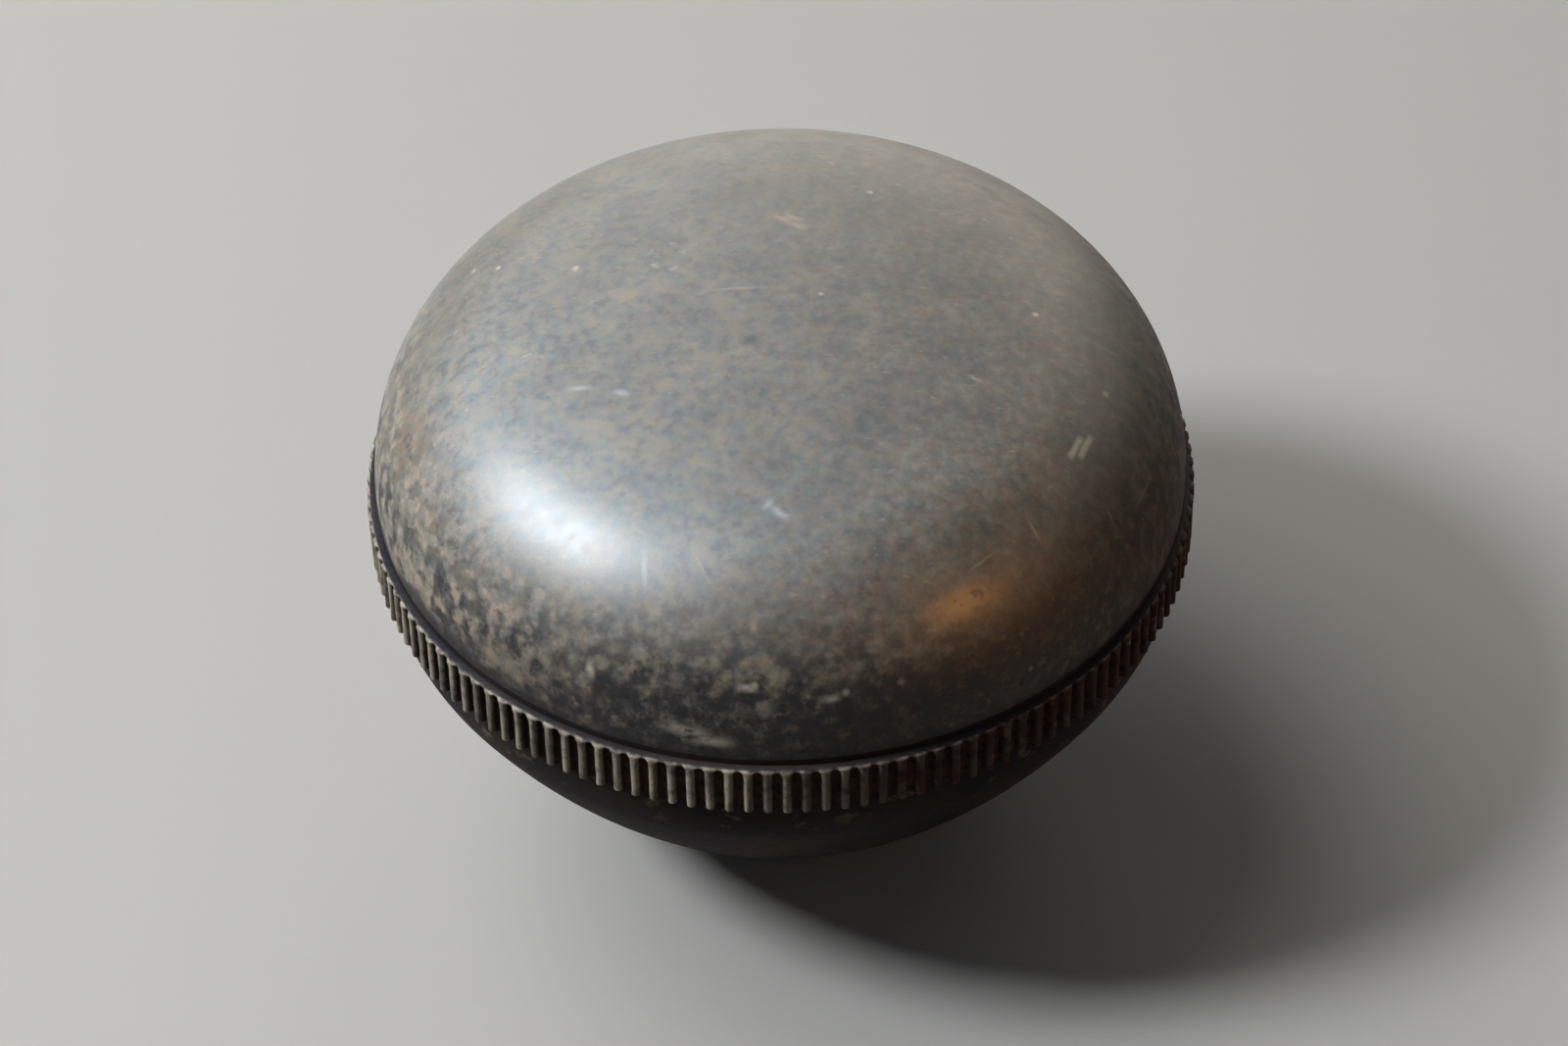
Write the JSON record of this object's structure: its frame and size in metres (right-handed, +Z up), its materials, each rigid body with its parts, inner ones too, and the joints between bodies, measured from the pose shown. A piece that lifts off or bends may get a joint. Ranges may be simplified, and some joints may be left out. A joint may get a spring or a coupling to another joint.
{
  "type": "gear shift knob",
  "caption": "Round gear shift knob: flattened dome, milled grip band at its widest part, tapering underside and a threaded brass insert in the base for the lever.",
  "frame": {"origin": "middle of the flat base, on the surface the knob stands on", "axes": "+Z up through the middle of the crown, -Y towards the front, where a ridge of the milled band faces, +X to the right seen from the front"},
  "size_m": [0.054, 0.054, 0.0406],
  "materials": {
    "moulding": "worn semi-gloss brown-black phenolic moulding",
    "brass": "turned, dulled brass"
  },
  "bodies": {
    "root": {"knob_body": "moulding", "threaded_insert": "brass"}
  },
  "joints": []
}
